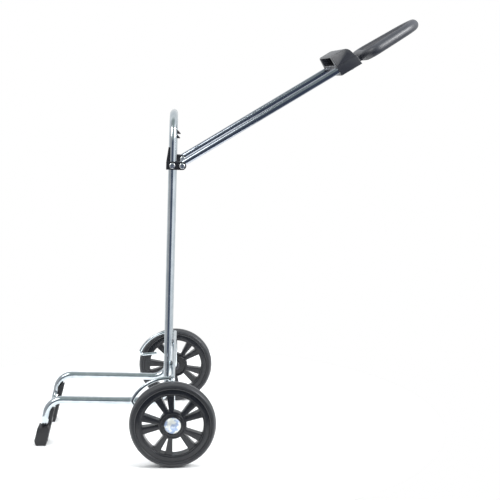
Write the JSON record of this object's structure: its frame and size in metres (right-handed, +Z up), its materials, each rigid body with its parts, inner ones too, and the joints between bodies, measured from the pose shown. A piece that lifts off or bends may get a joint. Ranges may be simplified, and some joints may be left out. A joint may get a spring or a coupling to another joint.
{
  "type": "folding platform cart",
  "caption": "Two-wheeled platform cart: a bent tube frame with a low front platform, a cranked axle and a handle that folds about a pivot near the top.",
  "frame": {"origin": "on the ground, at the middle of the footprint box", "axes": "+Z up, -X towards the platform and the feet, +X towards the handle, Y along the wheel axle"},
  "size_m": [0.7216, 0.4492, 0.7959],
  "materials": {
    "zinc_steel": "bright zinc-plated steel tube",
    "weld": "plated weld bead",
    "foot_plastic": "matt",
    "fastener_steel": "bright",
    "fitting_plastic": "satin",
    "rim_plastic": "satin moulded",
    "tyre": "matt rubber",
    "bush_plastic": "plain nylon",
    "cap_steel": "bright zinc-plated",
    "handle_aluminium": "bright anodised",
    "head_plastic": "satin",
    "grip_plastic": "semi-gloss"
  },
  "bodies": {
    "frame": {"lower_frame_tube": "zinc_steel", "upper_frame_tube": "zinc_steel", "joint_rivets": "zinc_steel", "cranked_axle": "zinc_steel", "weld_beads": "weld", "wheel_guard_left": "zinc_steel", "wheel_guard_right": "zinc_steel", "foot_left": "foot_plastic", "foot_right": "foot_plastic", "foot_screws": "fastener_steel", "fold_bracket_left": "fitting_plastic", "fold_bracket_right": "fitting_plastic", "bracket_nuts": "fastener_steel", "bracket_bolts": "fastener_steel", "pivot_nuts": "fastener_steel", "pivot_bolts": "fastener_steel", "bag_hook_left": "fitting_plastic", "bag_hook_right": "fitting_plastic", "axle_washers": "fastener_steel", "axle_push_nuts": "fastener_steel"},
    "wheel_left": {"rim_left": "rim_plastic", "tyre_left": "tyre", "wheel_bushes_left": "bush_plastic", "hub_cap_left": "cap_steel"},
    "wheel_right": {"rim_right": "rim_plastic", "tyre_right": "tyre", "wheel_bushes_right": "bush_plastic", "hub_cap_right": "cap_steel"},
    "handle": {"handle_tube_left": "handle_aluminium", "handle_tube_right": "handle_aluminium", "pivot_bushes": "bush_plastic", "crosspiece": "head_plastic", "rail_hook": "head_plastic", "crosspiece_screws": "fastener_steel", "grip_upper_shell": "grip_plastic", "grip_lower_shell": "grip_plastic", "grip_screws": "fastener_steel"}
  },
  "joints": [
    {"name": "handle_fold", "type": "hinge", "parent": "frame", "child": "handle", "pos_m": [-0.0825, 0, 0.52672], "axis": [0, 1, 0], "range_deg": [-57.4, 121.4]},
    {"name": "wheel_left_spin", "type": "hinge", "parent": "frame", "child": "wheel_left", "pos_m": [-0.09989, -0.21, 0.0775], "axis": [0, 1, 0], "continuous": true},
    {"name": "wheel_right_spin", "type": "hinge", "parent": "frame", "child": "wheel_right", "pos_m": [-0.09989, 0.21, 0.0775], "axis": [0, 1, 0], "continuous": true}
  ]
}
